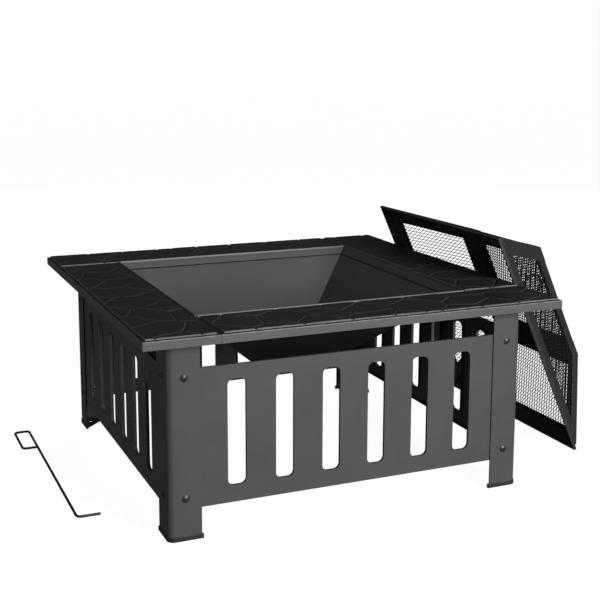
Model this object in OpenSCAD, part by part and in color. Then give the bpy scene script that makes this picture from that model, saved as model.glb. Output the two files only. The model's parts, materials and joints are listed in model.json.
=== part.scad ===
// Square fire pit table with a lift-out bowl, a log grate, a spark screen and a poker.
// Origin: centre of the four feet, on the ground. X runs along the front, +Z is up.
// Sizes are in millimetres. The spark screen leans on the right edge of the table.

/* [Table top] */
// Width and depth of the square table top
table_w = 813; // [800:1:830]
// Height of the table top's outer edge
table_h = 376; // [370:1:390]
// Width of the square opening for the bowl
opening_w = 544; // [536:1:552]
// Height of the folded outer rim
rim_h = 16; // [12:1:20]
// Thickness of the top and side sheet
sheet_t = 1.5; // [1:0.1:2]
// Height of the raised stone-pattern field
relief_h = 2; // [1:0.5:3]
// Width of the flat border around the raised field
border_w = 6; // [5:1:9]
// Gap at the seams between top panels
seam = 0.8; // [0.4:0.2:1.2]

/* [Legs and feet] */
// Distance from the table edge to the outer face of a leg
leg_inset = 54; // [50:1:58]
// Width of each leg flange
leg_w = 60; // [56:1:64]
// Thickness of the leg steel
leg_t = 2.5; // [2:0.5:3]
// Outer radius of the leg's bent corner
leg_r = 12; // [9:1:14]
// Length of a foot cap along each flange
foot_w = 63; // [62:1:70]
// Height of a foot cap
foot_h = 8; // [6:1:12]
// Thickness of the foot cap's web and floor
foot_web_t = 3; // [2:0.5:4]
// Diameter of the anchor hole in the foot web
anchor_d = 10; // [8:0.5:11]
// Distance from the leg's outer face to the anchor hole
anchor_in = 18.5; // [18:0.5:20]

/* [Side panels] */
// Height of the side panel's lower edge
panel_z = 56; // [50:1:64]
// Height of a side panel
panel_h = 250; // [246:1:256]
// Depth of the panel's folded edges and slot collars
panel_d = 6; // [4:1:8]
// Number of slots in a side panel
slot_n = 6; // [4:1:6]
// Distance between slot centres
slot_pitch = 90.3; // [86:0.1:92]
// Width of a slot
slot_w = 34.5; // [28:0.5:36]
// Height of a slot
slot_h = 193; // [180:1:196]
// Corner radius of a slot
slot_r = 11; // [6:1:14]
// Height of the slot centres
slot_z = 183.5; // [181:0.5:186]

/* [Fasteners] */
// Height of the lower row of leg screws
screw_low = 76.5; // [72:0.5:84]
// Height of the upper row of leg screws
screw_high = 292; // [284:0.5:296]
// Diameter of a leg screw's shank
screw_d = 6; // [5:0.5:6]
// Diameter of a leg screw's head
head_d = 14; // [12:0.5:15]
// Height of a leg screw's head
head_h = 3; // [2.5:0.5:4]
// Width of a nut across its flats
nut_af = 10; // [9:0.5:11]
// Diameter of the studs under the top panels
stud_d = 5; // [4:0.5:5]

/* [Fire bowl] */
// Slope of the bowl's walls from the horizontal
wall_angle = 41; // [39:0.5:43]
// Width of the sloping fold that stays visible around the bowl, in plan
band_w = 14; // [12:1:16]
// Thickness of the bowl sheet
bowl_t = 1.5; // [1:0.1:2]
// Height of the bowl's underside above the ground
bowl_z = 222; // [218:1:228]

/* [Log grate] */
// Diameter of the grate rods
grate_rod = 8; // [6:0.5:8]
// Number of cross bars
grate_n = 7; // [5:1:8]
// Distance between cross bars
grate_pitch = 23; // [18:1:24]
// Height of the cross bars above the bowl floor
grate_up = 30; // [28:1:34]

/* [Spark screen] */
// Width of the screen's open base
screen_w = 514; // [506:1:520]
// Width of the screen's flat crown
crown_w = 270; // [250:1:280]
// Height of the screen from base to crown
screen_h = 150; // [140:1:160]
// Width of the frame bars
bar_w = 34; // [28:1:36]
// Thickness of the frame bars
bar_t = 1.5; // [1:0.1:2]
// Lean of the screen's base from the vertical
screen_lean = 24; // [22:0.5:26]
// Distance of the screen's middle behind the table's middle
screen_y = 12; // [0:1:20]
// Mean diameter of the lifting ring
ring_d = 44; // [38:1:48]
// Diameter of the ring's rod
ring_rod = 6; // [5:0.5:6]

/* [Poker] */
// Diameter of the poker rod
poker_d = 5; // [4:0.5:6]
// Length of the poker, hook to loop
poker_l = 505; // [480:5:520]
// Width of the hook at the poker's tip
hook_w = 43; // [30:1:46]
// Width of the loop for the hand
loop_w = 31; // [26:1:36]
// Length of the loop for the hand
loop_l = 109; // [90:1:120]
// Bend radius of the poker's rod
poker_bend = 9; // [7:1:12]

/* [Hidden] */

$fn = 48;

// Clearance between pieces that touch, and the overlap that joins two shapes of one piece
touch = 0.1;
weld = 0.5;

// Extra length that carries a cut right through
through = 10;

// Half sizes that set out the table
table_half = table_w / 2;
open_half = opening_w / 2;
leg_half = table_half - leg_inset;
panel_half = leg_half - leg_t;
skin_z = table_h - sheet_t;

// Fold around the opening: it slopes at the bowl's wall angle and the bowl rests on it
fold_in = band_w + 9;
fold_drop = fold_in * tan(wall_angle);
fold_up_t = sheet_t / cos(wall_angle);

// Clearance between the bowl and the fold, measured upwards
bowl_gap = 0.4;

// Legs reach up to their top plates, just under the top panels
plate_t = 2.5;
plate_w = leg_w - leg_t - leg_r;
leg_top = skin_z - touch;

// Studs over a leg's top plate: distances from the leg's outer corner
plate_stud_near = leg_t + 14;
plate_stud_far = leg_t + 36;
panel_nut_af = 8;
panel_nut_h = 4;

// Screws stand in the middle of a leg's flange
screw_in = leg_w / 2 + 1;
leg_nut_h = 5;
hole_clear = 0.6;
thread_clear = 0.2;

// Straps that tie two top panels together under each seam
strap_w = 36;
strap_l = 108;
strap_t = 2;
strap_stud_x = 9;
strap_stud_y = 30;
seam_mid = (table_half + open_half) / 2;
stud_len = 12;

// Log grate: it stands a little above the bowl's floor
grate_foot_z = bowl_z + bowl_t + 2 * touch;
grate_rail_l = 168;
grate_bar_l = 220;
grate_rail_x = 72;

// Screen: inner surface of its sloping sides runs from the foot to the crown
screen_half = screen_w / 2;
crown_half = crown_w / 2;
lip_t = 4;
lip_h = 6;
slope_x = screen_half - lip_t + 1;
slope_z = lip_h - 2;
slope_run = slope_x - crown_half;
slope_rise = screen_h - slope_z;
slope_tilt = atan2(slope_run, slope_rise);
slope_len = norm([slope_run, slope_rise]);
corner_in = bar_w;
crown_bar_w = 30;
crown_weld = 1;
mitre_gap = touch;
mesh_t = 1.2;
mesh_lap = 10;
ring_up = 28.5;
washer_d = 32;
washer_t = 1.4;
ring_shank = 12;
ring_nut_h = 5;

// The screen touches the table's right edge with a hair of clearance
lean_gap = 0.6;
screen_x = table_half + lean_gap + table_h * tan(screen_lean);

// Poker: its rod lies along Y on the ground, beyond the table's left edge
poker_x = -476;
poker_tip_y = -186;
poker_end_y = poker_tip_y + poker_l;

// ---------- helpers ----------

// Square with one rounded corner at the origin
module corner_square(size, r) {
    translate([r, 0]) square([size - r, size]);
    translate([0, r]) square([size, size - r]);
    translate([r, r]) circle(r);
}

// Angle section with a bent corner at the origin
module angle_section(size, t, r) {
    difference() {
        corner_square(size, r);
        translate([t, t]) corner_square(size, r - t);
    }
}

// Upright slot outline with rounded corners, centred
module slot_outline(w, h, r) {
    square([w, h - 2 * r], center = true);
    square([w - 2 * r, h], center = true);
    for (sx = [-1, 1])
        for (sy = [-1, 1])
            translate([sx * (w / 2 - r), sy * (h / 2 - r)]) circle(r);
}

// Square block whose half size changes from half_low to half_high
module frustum(half_low, half_high, h) {
    reach = 2 * max(half_low, half_high) + 10;
    outline = [[-half_low, 0], [half_low, 0], [half_high, h], [-half_high, h]];
    intersection() {
        rotate([90, 0, 0]) linear_extrude(reach, center = true) polygon(outline);
        rotate([90, 0, 90]) linear_extrude(reach, center = true) polygon(outline);
    }
}

// Quarter of the plan, towards +X, with a small gap at the mitres
module quadrant(reach, low, high, gap) {
    translate([0, 0, low])
        linear_extrude(high - low)
            polygon([[gap, 0], [reach, reach - gap], [reach, gap - reach]]);
}

// Hexagonal nut with its bearing face at z = 0
module nut(af, h, bore) {
    difference() {
        cylinder(d = af / cos(30), h = h, $fn = 6);
        translate([0, 0, -1]) cylinder(d = bore, h = h + 2);
    }
}

// Corner k of the table: 0 front left, 1 front right, 2 back right, 3 back left
module at_corner(k) {
    rotate([0, 0, 90 * k]) translate([-leg_half, -leg_half, 0]) children();
}

// ---------- table top ----------

// Front panel: it takes in the front right corner and stops at the front left seam
module top_panel(k) {
    x0 = -open_half + seam / 2;
    x1 = table_half;
    y0 = -table_half;
    y1 = -open_half - seam / 2;
    rotate([0, 0, 90 * k]) color([0.2, 0.2, 0.21]) {
        translate([x0, y0, skin_z]) cube([x1 - x0, y1 - y0, sheet_t]);
        translate([x0 + border_w, y0 + border_w, table_h])
            cube([x1 - x0 - 2 * border_w, y1 - y0 - 2 * border_w, relief_h]);
        translate([x0, y0, table_h - rim_h]) cube([x1 - x0, sheet_t, rim_h]);
        translate([x1 - sheet_t, y0, table_h - rim_h]) cube([sheet_t, y1 - y0, rim_h]);
        opening_fold(y1);
        panel_studs();
    }
}

// Sloping fold along the opening, mitred at both ends
module opening_fold(y1) {
    reach = open_half - fold_in;
    intersection() {
        rotate([90, 0, 90]) linear_extrude(opening_w, center = true)
            polygon([
                [y1, table_h], [y1, table_h - fold_up_t],
                [-reach, table_h - fold_drop - fold_up_t], [-reach, table_h - fold_drop]
            ]);
        linear_extrude(table_h + 1)
            polygon([
                [seam - open_half, -open_half - seam], [open_half - seam, -open_half - seam],
                [reach - seam, -reach + 1], [seam - reach, -reach + 1]
            ]);
    }
}

// Threaded studs under one panel: four at its two seams and two over a leg plate
module panel_studs() {
    for (p = strap_points(1))
        stud([p[0], p[1]]);
    for (p = strap_points(-1))
        rotate([0, 0, 90]) stud([p[0], p[1]]);
    for (p = plate_points())
        rotate([0, 0, 90]) translate([-leg_half, -leg_half]) stud(p);
}

module stud(p) {
    translate([p[0], p[1], skin_z - stud_len]) cylinder(d = stud_d, h = stud_len + weld);
}

// Stud positions at the front left seam, on one side of it
function strap_points(side) =
    [for (s = [-1, 1]) [-open_half + side * strap_stud_x, -seam_mid + s * strap_stud_y]];

// Stud positions over a leg's top plate, from the leg's outer corner
function plate_points() =
    [[plate_stud_near, plate_stud_far], [plate_stud_far, plate_stud_near]];

module joint_strap(k) {
    rotate([0, 0, 90 * k]) color([0.25, 0.25, 0.26]) difference() {
        translate([-open_half - strap_w / 2, -seam_mid - strap_l / 2, skin_z - strap_t - touch])
            cube([strap_w, strap_l, strap_t]);
        for (side = [-1, 1])
            for (p = strap_points(side))
                translate([p[0], p[1], skin_z])
                    cylinder(d = stud_d + hole_clear, h = 2 * through, center = true);
    }
}

module panel_nuts() {
    under_strap = skin_z - strap_t - 2 * touch - panel_nut_h;
    under_plate = leg_top - plate_t - touch - panel_nut_h;
    color([0.6, 0.6, 0.6]) for (k = [0:3]) rotate([0, 0, 90 * k]) {
        for (side = [-1, 1])
            for (p = strap_points(side))
                translate([p[0], p[1], under_strap])
                    nut(panel_nut_af, panel_nut_h, stud_d + thread_clear);
        for (p = plate_points())
            translate([p[0] - leg_half, p[1] - leg_half, under_plate])
                nut(panel_nut_af, panel_nut_h, stud_d + thread_clear);
    }
}

// ---------- legs, feet and side panels ----------

module leg(k) {
    at_corner(k) color([0.34, 0.34, 0.35]) difference() {
        union() {
            translate([0, 0, foot_web_t + touch])
                linear_extrude(leg_top - foot_web_t - touch)
                    angle_section(leg_w, leg_t, leg_r);
            translate([leg_t - weld, leg_t - weld, leg_top - plate_t])
                linear_extrude(plate_t) intersection() {
                    corner_square(leg_w - leg_t - 3, leg_r - leg_t);
                    polygon([[0, 0], [2 * plate_w, 0], [0, 2 * plate_w]]);
                }
        }
        leg_screw_places() cylinder(d = screw_d + hole_clear, h = 2 * through, center = true);
        for (p = plate_points())
            translate([p[0], p[1], leg_top])
                cylinder(d = stud_d + hole_clear, h = 2 * through, center = true);
    }
}

// The four screws of one leg, each pointing out of its flange at the outer face
module leg_screw_places() {
    for (z = [screw_low, screw_high]) {
        translate([screw_in, 0, z]) rotate([90, 0, 0]) children();
        translate([0, screw_in, z]) rotate([0, -90, 0]) children();
    }
}

module foot_cap(k) {
    wall = 1.3;
    outer = foot_w + wall;
    at_corner(k) translate([-wall, -wall, 0]) color([0.08, 0.08, 0.08]) difference() {
        union() {
            linear_extrude(foot_web_t) {
                angle_section(outer, leg_t + 2 * wall + 2 * touch, leg_r + wall);
                intersection() {
                    corner_square(outer, leg_r + wall);
                    polygon([[0, 0], [outer, 0], [0, outer]]);
                }
            }
            linear_extrude(foot_h) difference() {
                angle_section(outer, leg_t + 2 * wall + 2 * touch, leg_r + wall);
                translate([wall - touch, wall - touch])
                    angle_section(leg_w + 2 * touch, leg_t + 2 * touch, leg_r + touch);
            }
        }
        translate([wall + anchor_in, wall + anchor_in, 0])
            cylinder(d = anchor_d, h = 2 * through, center = true);
    }
}

module side_panel(k) {
    half = panel_half - leg_r + leg_t;
    hole_x = leg_half - screw_in;
    rotate([0, 0, 90 * k]) translate([0, -panel_half, 0]) rotate([90, 0, 0])
        color([0.33, 0.33, 0.34]) {
            translate([0, 0, -sheet_t]) linear_extrude(sheet_t) difference() {
                translate([-half, panel_z]) square([2 * half, panel_h]);
                slots(slot_w, slot_h, slot_r);
                for (sx = [-1, 1])
                    for (z = [screw_low, screw_high])
                        translate([sx * hole_x, z]) circle(d = screw_d + hole_clear);
            }
            translate([0, 0, -panel_d]) linear_extrude(panel_d - sheet_t / 2) {
                difference() {
                    slots(slot_w + 2 * sheet_t, slot_h + 2 * sheet_t, slot_r + sheet_t);
                    slots(slot_w, slot_h, slot_r);
                }
                difference() {
                    translate([-half, panel_z]) square([2 * half, panel_h]);
                    translate([sheet_t - half, panel_z + sheet_t])
                        square([2 * (half - sheet_t), panel_h - 2 * sheet_t]);
                }
            }
        }
}

module slots(w, h, r) {
    first = -(slot_n - 1) * slot_pitch / 2;
    for (i = [0 : slot_n - 1])
        translate([first + i * slot_pitch, slot_z]) slot_outline(w, h, r);
}

// Pan-head cross-recess screw: head outwards from z = 0, shank inwards
module leg_screw() {
    rim = 0.6;
    dome_h = head_h - rim;
    dome_r = (pow(head_d / 2, 2) + pow(dome_h, 2)) / (2 * dome_h);
    shank = 14;
    recess = [6, 1.4, 3.2];
    difference() {
        union() {
            translate([0, 0, touch / 2]) cylinder(d = head_d, h = rim);
            intersection() {
                translate([0, 0, touch / 2 + head_h - dome_r]) sphere(dome_r);
                translate([0, 0, rim]) cylinder(d = head_d, h = head_h);
            }
            translate([0, 0, -shank]) cylinder(d = screw_d, h = shank + weld);
        }
        for (a = [45, 135])
            rotate([0, 0, a]) translate([0, 0, head_h]) cube(recess, center = true);
    }
}

module leg_screws() {
    color([0.3, 0.3, 0.31]) for (k = [0:3]) at_corner(k) leg_screw_places() leg_screw();
}

module leg_nuts() {
    bearing = leg_t + sheet_t + touch;
    color([0.6, 0.6, 0.6]) for (k = [0:3]) at_corner(k) leg_screw_places()
        translate([0, 0, -bearing - leg_nut_h]) nut(nut_af, leg_nut_h, screw_d + thread_clear);
}

// ---------- fire bowl and log grate ----------

// Half width of the bowl's underside surface at height z
function bowl_half(z) = open_half - (table_h + bowl_gap - z) / tan(wall_angle);

module fire_bowl() {
    top = table_h + bowl_gap - band_w * tan(wall_angle);
    wall_up = bowl_t / cos(wall_angle);
    floor_top = bowl_z + bowl_t;
    cut_top = top + through;
    color([0.3, 0.3, 0.3]) difference() {
        translate([0, 0, bowl_z]) frustum(bowl_half(bowl_z), bowl_half(top), top - bowl_z);
        translate([0, 0, floor_top])
            frustum(bowl_half(floor_top - wall_up), bowl_half(cut_top - wall_up), cut_top - floor_top);
    }
}

// Rail with a leg bent down at each end; it stands on the bowl's floor
module grate_rail(x) {
    rail_z = grate_foot_z + grate_up - grate_rod * 1.5;
    bend = grate_rod * 1.5;
    half = grate_rail_l / 2;
    color([0.15, 0.15, 0.15]) translate([x, 0, rail_z]) {
        rotate([90, 0, 0]) cylinder(d = grate_rod, h = 2 * (half - bend), center = true);
        for (s = [0, 180]) rotate([0, 0, s]) {
            translate([0, half - bend, -bend]) rotate([0, 90, 0]) rotate([0, 0, 90])
                rotate_extrude(angle = 90) translate([bend, 0]) circle(d = grate_rod);
            translate([0, half, grate_foot_z - rail_z])
                cylinder(d = grate_rod, h = rail_z - grate_foot_z - bend);
        }
    }
}

module grate_bars() {
    bar_z = grate_foot_z + grate_up - grate_rod / 2 + touch / 2;
    first = -(grate_n - 1) * grate_pitch / 2;
    color([0.15, 0.15, 0.15]) for (i = [0 : grate_n - 1])
        translate([0, first + i * grate_pitch, bar_z]) rotate([0, 90, 0])
            cylinder(d = grate_rod, h = grate_bar_l, center = true);
}

// ---------- spark screen ----------

// The screen's own frame: open base at z = 0, crown above it, lower side towards +X
module leaning() {
    translate([screen_x - screen_half * sin(screen_lean), screen_y, screen_half * cos(screen_lean)])
        rotate([0, 90 - screen_lean, 0]) children();
}

// Plane of the sloping side towards +X: x along the base, y up the slope, z outwards
module on_slope() {
    translate([slope_x, 0, slope_z]) rotate([0, -slope_tilt, 0]) rotate([90, 0, 90]) children();
}

// Half length of a sloping side, b up the slope
function side_half(b) = slope_x - b * sin(slope_tilt);

// Section of a bar extruded along one side and mitred; four of them make a frame
module mitred_frame() {
    for (k = [0:3]) rotate([0, 0, 90 * k]) intersection() {
        rotate([90, 0, 0]) linear_extrude(2 * screen_w, center = true) children();
        quadrant(screen_w, -through, screen_h + through, mitre_gap);
    }
}

// Section of a flat bar on the slope, from b0 to b1
module slope_section(b0, b1) {
    translate([slope_x, slope_z]) rotate(slope_tilt)
        translate([0, b0]) square([bar_t, b1 - b0]);
}

module screen_base_frame() {
    leaning() color([0.25, 0.25, 0.25]) mitred_frame() {
        translate([screen_half - lip_t, 0]) square([lip_t, lip_h]);
        slope_section(0, bar_w);
    }
}

module screen_crown_frame() {
    leaning() color([0.25, 0.25, 0.25]) mitred_frame() {
        slope_section(slope_len - crown_bar_w, slope_len);
        translate([crown_half - bar_w, screen_h]) square([bar_w + crown_weld, bar_t]);
    }
}

// One flange of a corner strip, on the sloping side towards +X
module strip_flange(sign) {
    b0 = 8;
    past = 6;
    intersection() {
        on_slope() translate([0, 0, bar_t + touch / 2]) linear_extrude(bar_t) polygon([
            [sign * (side_half(b0) + past), b0], [sign * (side_half(b0) - corner_in), b0],
            [sign * (side_half(slope_len) - corner_in), slope_len],
            [sign * (side_half(slope_len) + past), slope_len]
        ]);
        quadrant(screen_w, -through, screen_h + through, 0);
    }
}

module screen_corner_strip(k) {
    leaning() rotate([0, 0, 90 * k]) color([0.28, 0.28, 0.28]) {
        strip_flange(1);
        rotate([0, 0, 90]) strip_flange(-1);
    }
}

// Mesh sheet behind the window of one sloping side, drawn as a thin plate
module screen_mesh_side(k) {
    b0 = bar_w - mesh_lap;
    b1 = slope_len - crown_bar_w + mesh_lap;
    inset = corner_in - mesh_lap;
    leaning() rotate([0, 0, 90 * k]) on_slope() translate([0, 0, -mesh_t - touch])
        color([0.12, 0.12, 0.12]) linear_extrude(mesh_t) polygon([
            [-side_half(b0) + inset, b0], [side_half(b0) - inset, b0],
            [side_half(b1) - inset, b1], [-side_half(b1) + inset, b1]
        ]);
}

module screen_mesh_crown() {
    size = crown_w - 2 * bar_w + 2 * mesh_lap;
    leaning() color([0.12, 0.12, 0.12]) translate([0, 0, screen_h - mesh_t - touch])
        linear_extrude(mesh_t) difference() {
            square(size, center = true);
            circle(d = ring_rod + hole_clear);
        }
}

// Lifting ring on a threaded shank through the crown mesh
module screen_ring() {
    leaning() color([0.15, 0.15, 0.15]) {
        translate([0, 0, screen_h + ring_up]) rotate([90, 0, 0])
            rotate_extrude() translate([ring_d / 2, 0]) circle(d = ring_rod);
        translate([0, 0, screen_h - ring_shank])
            cylinder(d = ring_rod, h = ring_shank + ring_up - ring_d / 2);
    }
}

module screen_ring_washers() {
    leaning() color([0.2, 0.2, 0.2]) for (z = [touch / 2, -mesh_t - 2 * touch - washer_t])
        translate([0, 0, screen_h + z]) linear_extrude(washer_t) difference() {
            circle(d = washer_d);
            circle(d = ring_rod + 2 * thread_clear);
        }
}

module screen_ring_nut() {
    bearing = screen_h - mesh_t - washer_t - 3 * touch;
    leaning() color([0.6, 0.6, 0.6]) translate([0, 0, bearing - ring_nut_h])
        nut(nut_af, ring_nut_h, ring_rod + thread_clear);
}

// ---------- poker ----------

// Straight stretch of rod from point a to point b on the ground
module rod_run(a, b) {
    run = b - a;
    translate([a[0], a[1], poker_d / 2]) rotate([0, 90, atan2(run[1], run[0])])
        cylinder(d = poker_d, h = norm(run));
}

// Quarter bend about a centre on the ground, from a start heading anticlockwise
module rod_bend(centre, start) {
    translate([centre[0], centre[1], poker_d / 2]) rotate([0, 0, start])
        rotate_extrude(angle = 90) translate([poker_bend, 0]) circle(d = poker_d);
}

// Rod with a hook at the tip and a rectangular loop for the hand
module poker() {
    r = poker_bend;
    loop_x = poker_x - loop_w;
    loop_y = poker_end_y - loop_l;
    color([0.1, 0.1, 0.1]) {
        rod_run([poker_x + hook_w, poker_tip_y], [poker_x + r, poker_tip_y]);
        rod_bend([poker_x + r, poker_tip_y + r], 180);
        rod_run([poker_x, poker_tip_y + r], [poker_x, poker_end_y - r]);
        rod_bend([poker_x - r, poker_end_y - r], 0);
        rod_run([poker_x - r, poker_end_y], [loop_x + r, poker_end_y]);
        rod_bend([loop_x + r, poker_end_y - r], 90);
        rod_run([loop_x, poker_end_y - r], [loop_x, loop_y + r]);
        rod_bend([loop_x + r, loop_y + r], 180);
        rod_run([loop_x + r, loop_y], [poker_x - poker_d / 2 + weld, loop_y]);
    }
}

// ---------- assembly ----------

top_panel(0);  // top_panel_front
top_panel(1);  // top_panel_right
top_panel(2);  // top_panel_back
top_panel(3);  // top_panel_left
joint_strap(0);  // joint_strap_front_left
joint_strap(1);  // joint_strap_front_right
joint_strap(2);  // joint_strap_back_right
joint_strap(3);  // joint_strap_back_left
panel_nuts();
leg(0);  // leg_front_left
leg(1);  // leg_front_right
leg(2);  // leg_back_right
leg(3);  // leg_back_left
foot_cap(0);  // foot_cap_front_left
foot_cap(1);  // foot_cap_front_right
foot_cap(2);  // foot_cap_back_right
foot_cap(3);  // foot_cap_back_left
side_panel(0);  // side_panel_front
side_panel(1);  // side_panel_right
side_panel(2);  // side_panel_back
side_panel(3);  // side_panel_left
leg_screws();
leg_nuts();
fire_bowl();
grate_rail(-grate_rail_x);  // grate_rail_left
grate_rail(grate_rail_x);  // grate_rail_right
grate_bars();
screen_base_frame();
screen_crown_frame();
screen_corner_strip(0);  // screen_corner_strip_lower_back
screen_corner_strip(1);  // screen_corner_strip_upper_back
screen_corner_strip(2);  // screen_corner_strip_upper_front
screen_corner_strip(3);  // screen_corner_strip_lower_front
screen_mesh_side(0);  // screen_mesh_lower
screen_mesh_side(1);  // screen_mesh_back
screen_mesh_side(2);  // screen_mesh_upper
screen_mesh_side(3);  // screen_mesh_front
screen_mesh_crown();
screen_ring();
screen_ring_washers();
screen_ring_nut();
poker();
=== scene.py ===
"""Looks of a square fire pit table with its bowl, log grate, spark screen and poker."""
import json
import math
import random

import bmesh
import bpy
import numpy as np
from mathutils import Matrix, Vector, noise


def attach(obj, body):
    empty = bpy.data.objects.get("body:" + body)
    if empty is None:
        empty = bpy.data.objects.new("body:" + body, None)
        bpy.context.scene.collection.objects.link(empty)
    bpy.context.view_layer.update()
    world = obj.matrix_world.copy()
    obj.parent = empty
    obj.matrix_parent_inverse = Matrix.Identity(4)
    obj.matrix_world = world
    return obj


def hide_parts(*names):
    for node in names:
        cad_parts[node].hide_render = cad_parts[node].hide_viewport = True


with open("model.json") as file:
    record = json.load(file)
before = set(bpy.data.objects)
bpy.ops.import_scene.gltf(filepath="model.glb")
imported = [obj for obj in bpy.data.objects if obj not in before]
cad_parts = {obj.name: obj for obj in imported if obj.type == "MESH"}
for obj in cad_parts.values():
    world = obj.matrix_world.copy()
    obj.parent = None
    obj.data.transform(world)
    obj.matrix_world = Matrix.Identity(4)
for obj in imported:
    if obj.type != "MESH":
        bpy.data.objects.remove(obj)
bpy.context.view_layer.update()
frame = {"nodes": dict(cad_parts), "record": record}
nodes = frame["nodes"]
slot_of = {part["node"]: part["material_slot"] for part in frame["record"]["subparts"]}
body_of = {
    node: body
    for body, members in frame["record"]["behaviour"]["bodies"].items()
    for node in members
}
mm = 0.001


# ---------- materials ----------

# Share by which painted surfaces vary around their colour
BLOTCH = 0.08


def new_material(name):
    material = bpy.data.materials.new(name)
    material.use_nodes = True
    tree = material.node_tree
    return material, tree, tree.nodes["Principled BSDF"]


def add(tree, kind, **values):
    """Adds a shader node; values are node properties or, by socket name, input values."""
    node = tree.nodes.new(kind)
    for key, value in values.items():
        if key in node.inputs:
            node.inputs[key].default_value = value
        else:
            setattr(node, key, value)
    return node


def noise_node(tree, coords, size, detail=4.0, rough=0.55):
    """Noise whose features are about size metres across."""
    node = add(tree, "ShaderNodeTexNoise")
    node.inputs["Scale"].default_value = 1 / size
    node.inputs["Detail"].default_value = detail
    node.inputs["Roughness"].default_value = rough
    tree.links.new(coords.outputs["Object"], node.inputs["Vector"])
    return node


def ramp(tree, source, low, high, to_low, to_high):
    node = add(tree, "ShaderNodeMapRange")
    limits = {"From Min": low, "From Max": high, "To Min": to_low, "To Max": to_high}
    for key, value in limits.items():
        node.inputs[key].default_value = value
    tree.links.new(source, node.inputs["Value"])
    return node.outputs["Result"]


def mix_colour(tree, factor, first, second):
    node = tree.nodes.new("ShaderNodeMix")
    node.data_type = "RGBA"
    tree.links.new(factor, node.inputs["Factor"])
    for value, key in ((first, 6), (second, 7)):
        if isinstance(value, tuple):
            node.inputs[key].default_value = (*value, 1)
        else:
            tree.links.new(value, node.inputs[key])
    return node.outputs[2]


def combine(tree, operation, first, second):
    node = add(tree, "ShaderNodeMath", operation=operation)
    for value, key in ((first, 0), (second, 1)):
        if isinstance(value, (int, float)):
            node.inputs[key].default_value = value
        else:
            tree.links.new(value, node.inputs[key])
    return node.outputs[0]


def bump(tree, height, strength, distance, under=None):
    """Bump from a height, on top of another bump's normal if one is given."""
    node = add(tree, "ShaderNodeBump", Strength=strength, Distance=distance)
    tree.links.new(height, node.inputs["Height"])
    if under:
        tree.links.new(under, node.inputs["Normal"])
    return node.outputs["Normal"]


def painted(name, colour, rough=0.5, spec=0.2, grain=0.9 * mm, grain_depth=0.05 * mm,
            wear_and_highlight=None, metallic=0.0):
    """Painted or bare metal: soft blotches, fine grain, scuffs, and lighter rounded edges that are
    partly edge wear and partly a painted highlight.
    """
    material, tree, shader = new_material(name)
    coords = add(tree, "ShaderNodeTexCoord")
    broad = noise_node(tree, coords, 90 * mm, 3.0)
    fine = noise_node(tree, coords, grain, 2.0)
    scuff = noise_node(tree, coords, 14 * mm, 8.0, 0.7)
    dark = tuple(c * (1 - BLOTCH) for c in colour)
    light = tuple(min(1, c * (1 + BLOTCH)) for c in colour)
    base = mix_colour(tree, ramp(tree, broad.outputs["Fac"], 0.3, 0.7, 0, 1), dark, light)
    speck = ramp(tree, fine.outputs["Fac"], 0.35, 0.75, 0, 0.35)
    base = mix_colour(tree, speck, base, light)
    # The marked rounded faces take a lighter edge colour in patches: partly edge wear, partly a
    # painted highlight along the edges.
    edge = add(tree, "ShaderNodeAttribute", attribute_name="wear_and_highlight")
    patchy = ramp(tree, scuff.outputs["Fac"], 0.42, 0.62, 0.1, 0.8)
    wear_and_highlight_mix = combine(tree, "MULTIPLY", edge.outputs["Fac"], patchy)
    # By default the edge colour is half again as light as the paint: wear and painted highlight.
    wear_and_highlight = wear_and_highlight or tuple(min(1, c * 1.5 + 0.004) for c in colour)
    base = mix_colour(tree, wear_and_highlight_mix, base, wear_and_highlight)
    tree.links.new(base, shader.inputs["Base Color"])
    broad_rough = ramp(tree, scuff.outputs["Fac"], 0.3, 0.7, rough - 0.07, rough + 0.07)
    fine_rough = ramp(tree, fine.outputs["Fac"], 0.3, 0.7, -0.03, 0.03)
    tree.links.new(combine(tree, "ADD", broad_rough, fine_rough), shader.inputs["Roughness"])
    tree.links.new(bump(tree, fine.outputs["Fac"], 0.5, grain_depth), shader.inputs["Normal"])
    shader.inputs["Specular IOR Level"].default_value = spec
    shader.inputs["Metallic"].default_value = metallic
    return material


def slate(name, colour, edge):
    """Charcoal paint over a stamped stone pattern: a painted highlight on the stone bevels, broken
    into patches, and a fine cleft texture.
    """
    material, tree, shader = new_material(name)
    coords = add(tree, "ShaderNodeTexCoord")
    broad = noise_node(tree, coords, 55 * mm, 4.0)
    cleft = noise_node(tree, coords, 9 * mm, 7.0, 0.65)
    fine = noise_node(tree, coords, 1.1 * mm, 3.0)
    # The stone bevels take the lighter edge colour in patches: a painted highlight on the bevels.
    bevel = add(tree, "ShaderNodeAttribute", attribute_name="bevel")
    patchy = ramp(tree, cleft.outputs["Fac"], 0.3, 0.6, 0.55, 1)
    bevel_highlight = combine(tree, "MULTIPLY", bevel.outputs["Fac"], patchy)
    base = mix_colour(tree, ramp(tree, broad.outputs["Fac"], 0.3, 0.7, 0, 1),
                      tuple(c * 0.85 for c in colour), tuple(c * 1.15 for c in colour))
    raised = ramp(tree, cleft.outputs["Fac"], 0.45, 0.7, 0, 0.35)
    base = mix_colour(tree, raised, base, tuple(c * 1.5 for c in colour))
    base = mix_colour(tree, bevel_highlight, base, edge)
    tree.links.new(base, shader.inputs["Base Color"])
    roughness = ramp(tree, cleft.outputs["Fac"], 0.3, 0.7, 0.5, 0.66)
    tree.links.new(roughness, shader.inputs["Roughness"])
    coarse = bump(tree, cleft.outputs["Fac"], 0.6, 0.25 * mm)
    tree.links.new(bump(tree, fine.outputs["Fac"], 0.5, 0.06 * mm, coarse), shader.inputs["Normal"])
    shader.inputs["Specular IOR Level"].default_value = 0.1
    return material


def grey(value):
    return (value, value, value)


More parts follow.
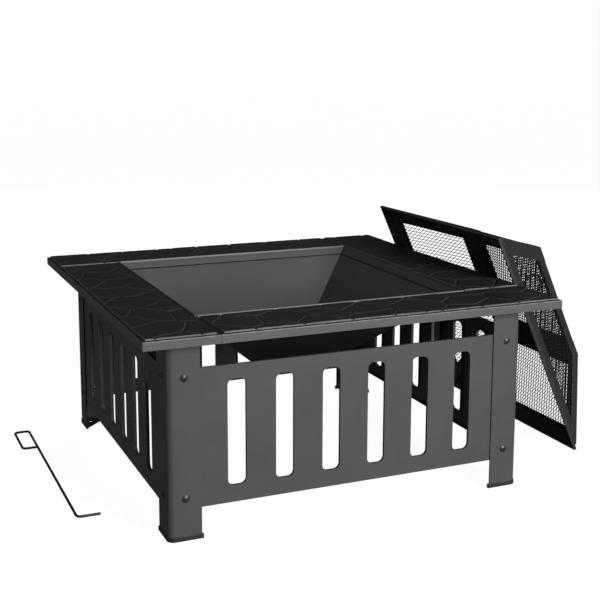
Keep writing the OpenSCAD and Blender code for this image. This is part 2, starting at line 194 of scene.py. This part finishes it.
looks = {
    # The second colour is the painted highlight on the stone bevels.
    "slate_steel": slate("slate_steel", grey(0.0155), grey(0.040)),
    # The rim's edge colour is much lighter than its paint: a painted highlight on the rim's rounded
    # edge and the stone steps, with some wear.
    "rim_steel": painted("rim_steel", grey(0.066), 0.46, wear_and_highlight=grey(0.16)),
    "grey_steel": painted("grey_steel", grey(0.049), 0.5),
    "plain_steel": painted("plain_steel", grey(0.049), 0.5),
    "zinc_steel": painted("zinc_steel", grey(0.43), 0.33, 0.5, grain=1.5 * mm, metallic=1.0),
    "screw_steel": painted("screw_steel", grey(0.019), 0.42, 0.4),
    "black_plastic": painted("black_plastic", grey(0.012), 0.55, 0.3, grain=0.6 * mm,
                             grain_depth=0.08 * mm),
    "bowl_enamel": painted("bowl_enamel", grey(0.066), 0.52, 0.1),
    "black_rod": painted("black_rod", grey(0.013), 0.5, 0.3),
    "black_mesh": painted("black_mesh", grey(0.008), 0.6, 0.1),
    # The screen frames' edge colour, five times as light as the paint, is a painted highlight along
    # the frame edges, with some wear.
    "screen_steel": painted("screen_steel", grey(0.015), 0.42, 0.35, wear_and_highlight=grey(0.075)),
    "ring_steel": painted("ring_steel", grey(0.02), 0.45, 0.35),
}
# A dull black used only as painted shade: on the bowl's outside and rim strip and on the legs' cut
# edges.
painted_shade_black = painted("painted_shade_black", grey(0.010), 0.6, 0.1)


# ---------- mesh helpers ----------

def clean_copy(node):
    """The CAD node's mesh as a bmesh, with split corners joined and flat faces merged."""
    bm = bmesh.new()
    bm.from_mesh(nodes[node].data)
    bmesh.ops.remove_doubles(bm, verts=bm.verts, dist=0.01 * mm)
    bmesh.ops.dissolve_limit(bm, angle_limit=math.radians(0.5), verts=bm.verts, edges=bm.edges)
    return bm


def round_edges(bm, width, sharp=28, segments=2):
    """Rounds every edge sharper than sharp degrees and marks the rounded faces for the lighter edge
    colour: edge wear and a painted highlight.
    """
    wear_and_highlight = bm.faces.layers.float.get("wear_and_highlight") or bm.faces.layers.float.new("wear_and_highlight")
    edges = [e for e in bm.edges
             if len(e.link_faces) == 2 and e.calc_face_angle(0) > math.radians(sharp)]
    made = bmesh.ops.bevel(bm, geom=edges, offset=width, segments=segments, profile=0.5,
                           affect="EDGES", clamp_overlap=True)
    for face in made["faces"]:
        face[wear_and_highlight] = 1.0


def finish_piece(bm, name, material, body, smooth=32):
    mesh = bpy.data.meshes.new(name)
    bm.normal_update()
    bm.to_mesh(mesh)
    bm.free()
    mesh.materials.append(material)
    for polygon in mesh.polygons:
        polygon.use_smooth = True
    mesh.set_sharp_from_angle(angle=math.radians(smooth))
    piece = bpy.data.objects.new(name, mesh)
    bpy.context.scene.collection.objects.link(piece)
    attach(piece, body)
    return piece


BOWL_TOP = max(v.co.z for v in nodes["fire_bowl"].data.vertices)
# Height of the strip at the top of the bowl that is painted black as the shade in the crease under
# the table's band
RIM_STRIP = 2 * mm


def softened(node, width):
    """Stands for a CAD node: the same shape with its edges rounded as bent or cut sheet is."""
    bm = clean_copy(node)
    if node == "fire_bowl":
        # Cut the bowl where the strip of painted shade at its rim begins.
        geometry = bm.verts[:] + bm.edges[:] + bm.faces[:]
        bmesh.ops.bisect_plane(bm, geom=geometry, plane_co=(0, 0, BOWL_TOP - RIM_STRIP),
                               plane_no=(0, 0, 1))
    round_edges(bm, width)
    slot = slot_of[node]
    piece = finish_piece(bm, node + "_shape", looks[slot], body_of[node])
    piece.modifiers.new("normals", "WEIGHTED_NORMAL").keep_sharp = True
    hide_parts(node)
    return piece


# ---------- table top ----------

# Height of the stone field over the border, and the share of it left in the joints
FIELD_UP = 2.9 * mm
JOINT_LEVEL = 0.3
# Width of the flat border and radius of the outer edge
BORDER = 6 * mm
EDGE_R = 2.2 * mm
# Bead along the opening
BEAD_W = 3.4 * mm
BEAD_H = 3.5 * mm
# Spacing of the relief's grid, size of a stone and gap between two panels
STEP = 1.6 * mm
STONE = 90 * mm
SEAM = 0.8 * mm
# Two points closer than this are at the same level
CLOSE = 0.01 * mm


def smooth(value):
    value = np.clip(value, 0, 1)
    return value * value * (3 - 2 * value)


def stone_seeds(width, depth):
    """Middles of the stones, in a jittered brick pattern, with each stone's lift and tilt."""
    draw = random.Random(23)
    seeds = []
    row_step = 0.7 * STONE
    for row in range(-1, math.ceil(depth / row_step) + 2):
        for column in range(-1, math.ceil(width / STONE) + 2):
            x = (column + 0.5 * (row % 2) + draw.uniform(-0.33, 0.33)) * STONE
            y = (row + draw.uniform(-0.33, 0.33)) * row_step
            seeds.append((x, y, draw.uniform(0.72, 1.0), draw.uniform(-6, 6), draw.uniform(-9, 9)))
    return np.array(seeds)


def noise_grid(x, y, size, octaves=4):
    """Fractal noise over a grid of points, with features about size metres across."""
    flat = [noise.fractal((a / size, b / size, 3.0), 0.9, 2.0, octaves)
            for a, b in zip(x.ravel(), y.ravel())]
    return np.array(flat).reshape(x.shape)


def stones(x, y, seeds):
    """Height of the stones, 0 in the joints to about 1 on top, and how much each point is bevel."""
    bend_x = x + 2.2 * mm * noise_grid(x, y, 34 * mm, 2)
    bend_y = y + 2.2 * mm * noise_grid(y, x, 34 * mm, 2)
    away = (bend_x[..., None] - seeds[:, 0]) ** 2 + (bend_y[..., None] - seeds[:, 1]) ** 2
    order = np.argsort(away, axis=-1)[..., :3]
    near = np.take_along_axis(away, order, axis=-1)
    own = seeds[order[..., 0]]
    edge = np.full(x.shape, np.inf)
    for k in (1, 2):
        other = seeds[order[..., k]]
        gap = np.hypot(other[..., 0] - own[..., 0], other[..., 1] - own[..., 1])
        edge = np.minimum(edge, (near[..., k] - near[..., 0]) / (2 * gap))
    rise = smooth((edge - 0.4 * mm) / (3.2 * mm))
    slope = own[..., 3] * (x - own[..., 0]) + own[..., 4] * (y - own[..., 1])
    return rise * (own[..., 2] + 0.25 * np.clip(slope, -1, 1)), 4 * rise * (1 - rise)


def spread(length, marks):
    """Positions from 0 to length, STEP apart, with extra ones at the marks."""
    even = np.linspace(0, length, round(length / STEP) + 1)
    keep = [p for p in even if all(abs(p - m) > 0.45 * STEP for m in marks)]
    return np.array(sorted(set(keep) | {round(m, 7) for m in marks}))


def edge_roll(distance):
    """Drop of the surface at a distance from a rounded outer edge."""
    return EDGE_R - np.sqrt(EDGE_R**2 - np.clip(EDGE_R - distance, 0, EDGE_R) ** 2)


def relief(low, high, opening):
    """The stamped top of the front panel: places, heights over the flat level, bevels, steps."""
    width, depth = high.x - low.x, high.y - low.y
    rolled = [EDGE_R * (1 - math.cos(math.radians(a))) for a in (0, 22, 45, 67, 90)]
    stepped = [BORDER + d * mm for d in (-0.5, -0.1, 0.4, 0.9)]
    bead = [d * mm for d in (0, 0.5, 1.0, 2.2, 2.8, 3.4)]
    left = [0, 0.5 * mm, 1.2 * mm] + stepped
    right = [width - d for d in rolled + stepped]
    front = rolled + stepped
    back = [depth - d for d in bead + stepped]
    xs, ys = spread(width, left + right), spread(depth, front + back)
    x, y = np.meshgrid(xs, ys)
    inset = np.minimum(np.minimum(x, width - x), np.minimum(y, depth - y))
    height = -np.maximum(edge_roll(width - x), edge_roll(y))
    height -= 0.35 * mm * (1 - smooth(np.minimum(x, depth - y) / (0.8 * mm)))
    field = smooth((inset - BORDER + 0.5 * mm) / (1.2 * mm))
    cleft = 0.2 * mm * noise_grid(x, y, 16 * mm) + 0.1 * mm * noise_grid(x, y, 5 * mm, 3)
    stone, bevel = stones(x, y, stone_seeds(width, depth))
    height += field * (FIELD_UP * (JOINT_LEVEL + (1 - JOINT_LEVEL) * stone) + cleft)
    from_edge = depth - y
    bead_up = smooth(from_edge / (0.9 * mm)) * smooth((BEAD_W - from_edge) / (0.9 * mm))
    height += np.where(x < opening - low.x, BEAD_H * bead_up, 0)
    # Steep faces are the field's step and the bead; they take the lighter rim paint as a painted
    # highlight.
    steep = (abs(field - 0.5) < 0.48) | ((from_edge < BEAD_W) & (x < opening - low.x))
    return x + low.x, y + low.y, height, bevel * field, steep


def top_panel(node, quarter):
    """One stamped top panel. The front panel's axes are the table's; the others are turned."""
    turn = Matrix.Rotation(math.radians(90 * quarter), 4, "Z")
    bm = clean_copy(node)
    bmesh.ops.transform(bm, matrix=turn.inverted(), verts=bm.verts)
    low = Vector([min(v.co[i] for v in bm.verts) for i in (0, 1)])
    high_x = max(v.co.x for v in bm.verts)
    high = Vector((high_x, low.x - SEAM))
    top = round(max(v.co.z for v in bm.verts if v.co.y < low.y + CLOSE), 5)
    top_faces = [f for f in bm.faces if all(v.co.z > top - CLOSE for v in f.verts)]
    bmesh.ops.delete(bm, geom=top_faces, context="FACES")
    for vert in bm.verts:
        outer = vert.co.y < low.y + CLOSE or vert.co.x > high_x - CLOSE
        if outer and abs(vert.co.z - top) < CLOSE:
            vert.co.z = top - EDGE_R
    wear_and_highlight = bm.faces.layers.float.new("wear_and_highlight")
    # The bevel share masks the painted highlight on the stone bevels.
    bevel_of = bm.verts.layers.float.new("bevel")
    x, y, height, bevel, steep = relief(low, high, -low.x)
    rows, columns = x.shape
    grid = [[bm.verts.new((x[j, i], y[j, i], top + height[j, i])) for i in range(columns)]
            for j in range(rows)]
    for j in range(rows):
        for i in range(columns):
            grid[j][i][bevel_of] = bevel[j, i]
    for j in range(rows - 1):
        for i in range(columns - 1):
            ring = (grid[j][i], grid[j][i + 1], grid[j + 1][i + 1], grid[j + 1][i])
            face = bm.faces.new(ring)
            # Steep faces get the lighter rim paint: a painted highlight on the step and the bead.
            face.material_index = int(steep[j, i] or steep[j + 1, i + 1])
            outer = min(high_x - x[j, i + 1], y[j, i] - low.y)
            # Faces at the outer rounded edge get the full edge colour and steep faces half of it: a
            # painted highlight along the rim edge and the steps.
            face[wear_and_highlight] = 1.0 if outer < 0.7 * EDGE_R else 0.5 * face.material_index
    bmesh.ops.transform(bm, matrix=turn, verts=bm.verts)
    slot = slot_of[node]
    piece = finish_piece(bm, node + "_shape", looks[slot], body_of[node], 40)
    piece.data.materials.append(looks["rim_steel"])
    for polygon in piece.data.polygons:
        if polygon.center.z < top - 1.0 * mm:
            polygon.material_index = 1
    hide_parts(node)
    return piece


# ---------- spark screen mesh ----------

# Width and height of a diamond and thickness of a strand
DIAMOND_L = 9.1 * mm
DIAMOND_W = 15.6 * mm
STRAND = 2.2 * mm
# The middle of a diamond is at least this far inside the CAD sheet's outline
LATTICE_MARGIN = 3 * mm


def inside(point, outline, margin):
    """True if a point lies inside a convex outline, listed anticlockwise, by a margin."""
    for a, b in zip(outline, outline[1:] + outline[:1]):
        side = (b - a).normalized()
        if side.x * (point.y - a.y) - side.y * (point.x - a.x) < margin:
            return False
    return True


def diamond_sheet(node):
    """Expanded metal in place of a CAD plate: diamonds that share their strands."""
    bm = clean_copy(node)
    face = max(bm.faces, key=lambda f: f.calc_area())
    normal = face.normal.copy()
    corners = [v.co.copy() for v in face.verts]
    edges = [b - a for a, b in zip(corners, corners[1:] + corners[:1])]
    across = max(edges, key=lambda e: e.length).normalized()
    deep = normal.cross(across)
    middle = sum(corners, Vector()) / len(corners)
    back = min((v.co - middle).dot(normal) for v in bm.verts)
    bm.free()
    origin = middle + normal * back / 2
    outline = [Vector(((c - middle).dot(across), (c - middle).dot(deep))) for c in corners]
    if len(outline) > 8:
        reach = max(p.x for p in outline)
        outline = [Vector((reach * x, reach * y)) for x, y in ((-1, -1), (1, -1), (1, 1), (-1, 1))]
    span = max(p.length for p in outline)
    count_x = math.ceil(2 * span / DIAMOND_L)
    count_y = math.ceil(2 * span / DIAMOND_W)
    out = bmesh.new()
    made = {}

    def corner(a, b):
        if (a, b) not in made:
            place = origin + across * (a * DIAMOND_L / 2) + deep * (b * DIAMOND_W / 2)
            made[a, b] = out.verts.new(place)
        return made[a, b]

    for a in range(-count_x, count_x + 1):
        for b in range(-count_y, count_y + 1):
            centre = Vector((a * DIAMOND_L / 2, b * DIAMOND_W / 2))
            if (a + b) % 2 and inside(centre, outline, LATTICE_MARGIN):
                out.faces.new((corner(a - 1, b), corner(a, b - 1),
                               corner(a + 1, b), corner(a, b + 1)))
    slot = slot_of[node]
    piece = finish_piece(out, node + "_diamonds", looks[slot], body_of[node])
    wire = piece.modifiers.new("strands", "WIREFRAME")
    wire.thickness = STRAND
    wire.use_even_offset = False
    wire.use_boundary = True
    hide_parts(node)
    return piece


# ---------- assembly ----------

# Fasteners that keep their CAD shape
KEPT = ("leg_screws", "leg_nuts")
# How far the edges of each kind of piece are rounded
SOFT_WIDTH = {"leg_": 0.5 * mm, "foot_cap": 0.5 * mm, "side_panel": 0.7 * mm,
              "joint_strap": 0.4 * mm, "fire_bowl": 0.7 * mm, "screen_base_frame": 0.7 * mm,
              "screen_crown_frame": 0.7 * mm, "screen_corner_strip": 0.7 * mm}


def blacken(piece, chosen):
    """Gives the chosen faces of a piece a dull black that is painted shade."""
    piece.data.materials.append(painted_shade_black)
    black = len(piece.data.materials) - 1
    for polygon in piece.data.polygons:
        if chosen(polygon):
            polygon.material_index = black


def bowl_painted_shade(polygon):
    """Only the bowl's inside has the grey enamel. Its outside, under the table, and its rim strip,
    in the crease under the table's band, are painted black as shade.
    """
    return polygon.normal.z < 0.1 or polygon.center.z > BOWL_TOP - RIM_STRIP


def free_edge_of_leg(polygon):
    """The cut edges of a leg's two flanges, toward the middle of each side, which are painted black
    as the shade of the gap between the leg and the side panel.
    """
    return min(abs(polygon.center.x), abs(polygon.center.y)) < LEG_INNER + 0.3 * mm


LEG_INNER = min(min(abs(v.co.x), abs(v.co.y)) for v in nodes["leg_front_right"].data.vertices)
# Faces painted black as shade: the legs' cut edges and the bowl's outside and rim strip.
BLACKENED = {"leg_": free_edge_of_leg, "fire_bowl": bowl_painted_shade}

for quarter, side in enumerate(("front", "right", "back", "left")):
    top_panel("top_panel_" + side, quarter)
for node in nodes:
    if node.startswith("screen_mesh"):
        diamond_sheet(node)
    elif node not in KEPT:
        for start, width in SOFT_WIDTH.items():
            if node.startswith(start):
                piece = softened(node, width)
                if start in BLACKENED:
                    blacken(piece, BLACKENED[start])
for node, piece in nodes.items():
    for index in range(len(piece.material_slots)):
        piece.material_slots[index].material = looks[slot_of[node]]


# ---------- floor, lights and camera ----------

# Radius and height of each ring of the floor, from the middle outwards
FLOOR_RINGS = [(2, 0), (4, 0), (7, 0), (9, 0.25), (10.5, 1.0), (11.5, 2.4), (12, 5), (12, 9)]
# The floor lies this far below the feet
FLOOR_GAP = 0.5 * mm


def make_floor():
    """A wide pale floor that turns up far away on every side."""
    bm = bmesh.new()
    sides = 64
    loops = []
    for radius, height in FLOOR_RINGS:
        loops.append([bm.verts.new((radius * math.cos(2 * math.pi * i / sides),
                                    radius * math.sin(2 * math.pi * i / sides), height - FLOOR_GAP))
                      for i in range(sides)])
    bm.faces.new(loops[0])
    for inner, outer in zip(loops, loops[1:]):
        for i in range(sides):
            j = (i + 1) % sides
            bm.faces.new((inner[i], outer[i], outer[j], inner[j]))
    mesh = bpy.data.meshes.new("floor")
    bm.to_mesh(mesh)
    bm.free()
    for polygon in mesh.polygons:
        polygon.use_smooth = True
    floor = bpy.data.objects.new("floor", mesh)
    bpy.context.scene.collection.objects.link(floor)
    material, _, shader = new_material("floor")
    shader.inputs["Base Color"].default_value = (0.1, 0.1, 0.1, 1)
    shader.inputs["Roughness"].default_value = 0.9
    shader.inputs["Specular IOR Level"].default_value = 0.0
    shader.inputs["Emission Color"].default_value = (1, 1, 1, 1)
    shader.inputs["Emission Strength"].default_value = 0.96
    mesh.materials.append(material)
    floor.visible_diffuse = False
    floor.visible_glossy = False


def area_light(name, place, aim, size, power, glossy=True):
    data = bpy.data.lights.new(name, "AREA")
    data.shape = "DISK"
    data.size = size
    data.energy = power
    light = bpy.data.objects.new(name, data)
    light.location = place
    light.rotation_mode = "QUATERNION"
    light.rotation_quaternion = (Vector(aim) - Vector(place)).to_track_quat("-Z", "Y")
    light.visible_glossy = glossy
    bpy.context.scene.collection.objects.link(light)


def make_lights():
    world = bpy.data.worlds.new("studio")
    world.use_nodes = True
    world.node_tree.nodes["Background"].inputs["Color"].default_value = (1, 1, 1, 1)
    world.node_tree.nodes["Background"].inputs["Strength"].default_value = 0.095
    bpy.context.scene.world = world
    area_light("key", (1.3, -4.4, 1.6), (0, 0, 0.25), 1.8, 355)
    area_light("left", (-4.2, -1.0, 0.55), (0, 0, 0.2), 1.5, 25)
    area_light("back", (1.9, 4.2, 0.9), (0, 0, 0.2), 1.8, 130, glossy=False)
    area_light("top", (0.6, -1.2, 4.5), (0, 0, 0.2), 2.5, 12)


def make_camera():
    data = bpy.data.cameras.new("camera")
    data.sensor_width = 36
    data.lens = 67.2
    data.shift_y = -0.1
    camera = bpy.data.objects.new("camera", data)
    camera.location = (-0.8605, -2.1092, 0.8383)
    azimuth, elevation, tilt = (math.radians(a) for a in (-23.16, 9.6, 0.16))
    back = Vector((math.sin(azimuth) * math.cos(elevation),
                   -math.cos(azimuth) * math.cos(elevation),
                   math.sin(elevation)))
    right = Vector((math.cos(azimuth), math.sin(azimuth), 0))
    up = back.cross(right)
    side = right * math.cos(tilt) + up * math.sin(tilt)
    turn = Matrix((side, back.cross(side), back)).transposed().to_4x4()
    camera.matrix_world = Matrix.Translation(camera.location) @ turn
    bpy.context.scene.collection.objects.link(camera)
    bpy.context.scene.camera = camera


make_floor()
make_lights()
make_camera()
bpy.context.scene.view_settings.view_transform = "Standard"

bpy.context.view_layer.update()
